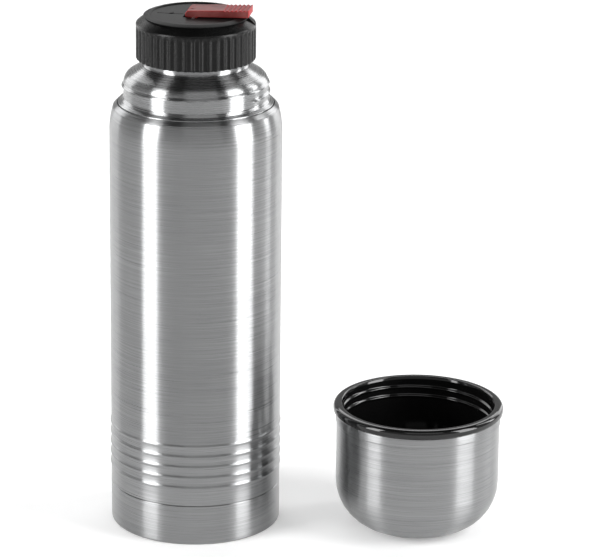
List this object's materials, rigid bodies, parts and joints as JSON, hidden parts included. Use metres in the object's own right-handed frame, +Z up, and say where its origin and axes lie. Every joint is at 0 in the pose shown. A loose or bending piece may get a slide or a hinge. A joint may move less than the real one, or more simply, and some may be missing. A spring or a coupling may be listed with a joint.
{
  "type": "vacuum flask",
  "caption": "Slim double-walled steel vacuum flask with a fluted lever stopper, standing beside its lined steel drinking cup.",
  "frame": {"origin": "centre of the flask's base, on the plane it stands on", "axes": "+Z up along the flask, +X along the closed lever towards its tip and the cup"},
  "size_m": [0.2091, 0.0984, 0.2816],
  "materials": {
    "steel_brushed": "circumferentially brushed",
    "steel_plain": "plain drawn",
    "foil": "bright",
    "seal_glass": "fused",
    "plastic_black": "fine moulded grain",
    "plastic_gloss_black": "gloss",
    "plastic_red": "semi-gloss",
    "plastic_white": "satin",
    "foam": "foamed",
    "silicone": "matte"
  },
  "bodies": {
    "vessel": {"outer_shell": "steel_brushed", "base_cap": "steel_brushed", "jacket_bottom": "steel_plain", "neck_collar": "steel_brushed", "inner_vessel": "steel_plain", "reflective_foil": "foil", "getter": "foil", "vacuum_seal": "seal_glass"},
    "gasket": {"mouth_gasket": "silicone"},
    "seal_ring": {"plug_seal": "silicone"},
    "stopper": {"stopper_cap": "plastic_black", "top_disc": "plastic_black", "lever_pin": "steel_plain", "stopper_plug": "plastic_black", "plug_insulation": "foam", "stem_guide": "plastic_black"},
    "lever": {"pour_lever": "plastic_red"},
    "valve": {"valve_stem": "plastic_white", "valve_head": "plastic_white", "valve_seal": "silicone", "spring_retainer": "plastic_white", "valve_spring": "steel_plain"},
    "cup": {"cup_shell": "steel_brushed", "cup_liner": "plastic_gloss_black"}
  },
  "joints": [
    {"name": "stopper_liftoff", "type": "slide", "parent": "vessel", "child": "gasket", "axis": [0, 0, 1], "range_m": [0, 0.06]},
    {"name": "screw_rise", "type": "slide", "parent": "gasket", "child": "seal_ring", "axis": [0, 0, 1], "range_m": [0, 0.0161]},
    {"name": "stopper_screw", "type": "hinge", "parent": "seal_ring", "child": "stopper", "pos_m": [0, 0, 0.262], "axis": [0, 0, 1], "range_deg": [0, 720]},
    {"name": "lever_lift", "type": "hinge", "parent": "stopper", "child": "lever", "pos_m": [0, 0, 0.2762], "axis": [0, -1, 0], "range_deg": [0, 90]},
    {"name": "valve_travel", "type": "slide", "parent": "stopper", "child": "valve", "axis": [0, 0, -1], "range_m": [0, 0.00275], "deforming": ["valve_spring"]},
    {"name": "cup_lift", "type": "slide", "parent": "vessel", "child": "cup", "axis": [0, 0, 1], "range_m": [0, 0.15]}
  ],
  "couplings": [
    {"joint": "screw_rise", "follows": "stopper_screw", "m_per_rad": 0.0012732},
    {"joint": "valve_travel", "follows": "lever_lift", "m_per_rad": 0.0017189}
  ]
}
